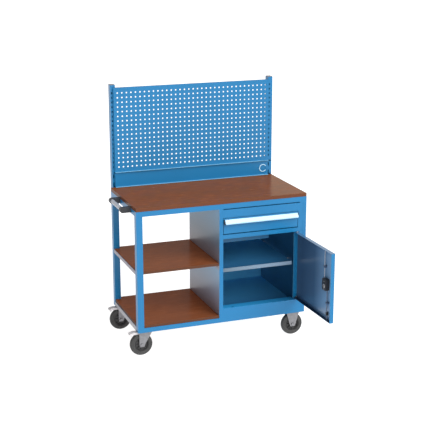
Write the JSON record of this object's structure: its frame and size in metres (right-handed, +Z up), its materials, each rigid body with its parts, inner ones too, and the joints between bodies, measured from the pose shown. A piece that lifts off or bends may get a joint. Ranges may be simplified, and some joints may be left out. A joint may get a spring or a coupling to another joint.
{
  "type": "mobile workbench",
  "caption": "Mobile workbench with board worktop, open shelf bay, cabinet with drawer and hinged door, perforated rear panel, push handle and casters.",
  "frame": {"origin": "centre of the worktop's top face", "axes": "+Z up, +X along the bench from the open bay to the cabinet, +Y from the front to the perforated panel"},
  "size_m": [1.2015, 1.1162, 1.628],
  "materials": {
    "blue_paint": "satin powder coat",
    "inner_blue_paint": "satin powder coat",
    "brown_board": "satin laminated board",
    "grey_paint": "satin",
    "zinc": "zinc plated",
    "grey_tube": "satin",
    "grey_plastic": "matt",
    "black_plastic": "matt",
    "aluminium_strip": "satin anodised",
    "wheel_plastic": "matt",
    "tyre_rubber": "matt"
  },
  "bodies": {
    "bench": {"worktop_board": "brown_board", "top_frame": "blue_paint", "left_legs": "blue_paint", "base_rails": "blue_paint", "mid_shelf_rails": "blue_paint", "mid_shelf_board": "brown_board", "lower_shelf_board": "brown_board", "cabinet_base": "blue_paint", "cabinet_side_left": "blue_paint", "cabinet_side_right": "blue_paint", "cabinet_back": "inner_blue_paint", "cabinet_front_rails": "blue_paint", "cabinet_liner": "inner_blue_paint", "cabinet_floor": "inner_blue_paint", "inner_shelf": "inner_blue_paint", "shelf_trim": "grey_paint", "shelf_pegs": "zinc", "runner_outers": "zinc", "hinge_pins": "zinc", "rod_keepers": "grey_plastic", "uprights": "blue_paint", "upright_caps": "grey_plastic", "frame_bolts": "zinc", "perforated_panel": "blue_paint", "blank_panel": "blue_paint", "cable_hole_cap": "blue_paint", "handle_tube": "grey_tube", "handle_brackets": "black_plastic", "caster_plates_left": "zinc", "caster_forks_right": "zinc", "caster_bolts": "zinc", "axle_bolts_right": "zinc"},
    "drawer": {"drawer_tray": "grey_paint", "drawer_front": "blue_paint", "drawer_grip": "aluminium_strip", "drawer_grip_caps": "black_plastic", "runner_inners": "zinc"},
    "drawer_runners": {"runner_middles": "zinc"},
    "door": {"door_panel": "blue_paint", "hinge_bushes": "black_plastic", "lock_case": "black_plastic", "rod_guides": "black_plastic"},
    "lock": {"lock_knob": "black_plastic", "lock_cam": "zinc"},
    "rod_upper": {"lock_rod_upper": "zinc"},
    "rod_lower": {"lock_rod_lower": "zinc"},
    "swivel_front_left": {"swivel_fork_front_left": "zinc", "axle_bolt_front_left": "zinc"},
    "brake_front_left": {"brake_front_left": "zinc"},
    "wheel_front_left": {"wheel_front_left": "wheel_plastic", "tyre_front_left": "tyre_rubber"},
    "wheel_front_right": {"wheel_front_right": "wheel_plastic", "tyre_front_right": "tyre_rubber"},
    "swivel_rear_left": {"swivel_fork_rear_left": "zinc", "axle_bolt_rear_left": "zinc"},
    "brake_rear_left": {"brake_rear_left": "zinc"},
    "wheel_rear_left": {"wheel_rear_left": "wheel_plastic", "tyre_rear_left": "tyre_rubber"},
    "wheel_rear_right": {"wheel_rear_right": "wheel_plastic", "tyre_rear_right": "tyre_rubber"}
  },
  "joints": [
    {"name": "drawer_slide", "type": "slide", "parent": "bench", "child": "drawer", "axis": [0, -1, 0], "range_m": [0, 0.44]},
    {"name": "runner_slide", "type": "slide", "parent": "bench", "child": "drawer_runners", "axis": [0, -1, 0], "range_m": [0, 0.22]},
    {"name": "door_hinge", "type": "hinge", "parent": "bench", "child": "door", "pos_m": [0.5085, -0.2785, -0.477], "axis": [0, 0, 1], "range_deg": [-91, 14]},
    {"name": "lock_turn", "type": "hinge", "parent": "door", "child": "lock", "pos_m": [0.52236, -0.69982, -0.472], "axis": [0.9998, 0.0175, 0], "range_deg": [0, 90]},
    {"name": "rod_upper_slide", "type": "slide", "parent": "door", "child": "rod_upper", "axis": [0, 0, 1], "range_m": [0, 0.0198]},
    {"name": "rod_lower_slide", "type": "slide", "parent": "door", "child": "rod_lower", "axis": [0, 0, -1], "range_m": [0, 0.0198]},
    {"name": "swivel_front_left", "type": "hinge", "parent": "bench", "child": "swivel_front_left", "pos_m": [-0.495, -0.239, -0.795], "axis": [0, 0, 1], "continuous": true},
    {"name": "roll_front_left", "type": "hinge", "parent": "swivel_front_left", "child": "wheel_front_left", "pos_m": [-0.535, -0.239, -0.8875], "axis": [0, 1, 0], "continuous": true},
    {"name": "brake_front_left", "type": "hinge", "parent": "swivel_front_left", "child": "brake_front_left", "pos_m": [-0.543, -0.239, -0.8098], "axis": [0, -1, 0], "range_deg": [0, 6]},
    {"name": "swivel_rear_left", "type": "hinge", "parent": "bench", "child": "swivel_rear_left", "pos_m": [-0.495, 0.239, -0.795], "axis": [0, 0, 1], "continuous": true},
    {"name": "roll_rear_left", "type": "hinge", "parent": "swivel_rear_left", "child": "wheel_rear_left", "pos_m": [-0.535, 0.239, -0.8875], "axis": [0, 1, 0], "continuous": true},
    {"name": "brake_rear_left", "type": "hinge", "parent": "swivel_rear_left", "child": "brake_rear_left", "pos_m": [-0.543, 0.239, -0.8098], "axis": [0, -1, 0], "range_deg": [0, 6]},
    {"name": "roll_front_right", "type": "hinge", "parent": "bench", "child": "wheel_front_right", "pos_m": [0.495, -0.239, -0.8875], "axis": [0, 1, 0], "continuous": true},
    {"name": "roll_rear_right", "type": "hinge", "parent": "bench", "child": "wheel_rear_right", "pos_m": [0.495, 0.239, -0.8875], "axis": [0, 1, 0], "continuous": true}
  ],
  "couplings": [
    {"joint": "runner_slide", "follows": "drawer_slide", "ratio": 0.5},
    {"joint": "rod_upper_slide", "follows": "lock_turn", "m_per_rad": 0.012478},
    {"joint": "rod_lower_slide", "follows": "lock_turn", "m_per_rad": 0.012478}
  ]
}
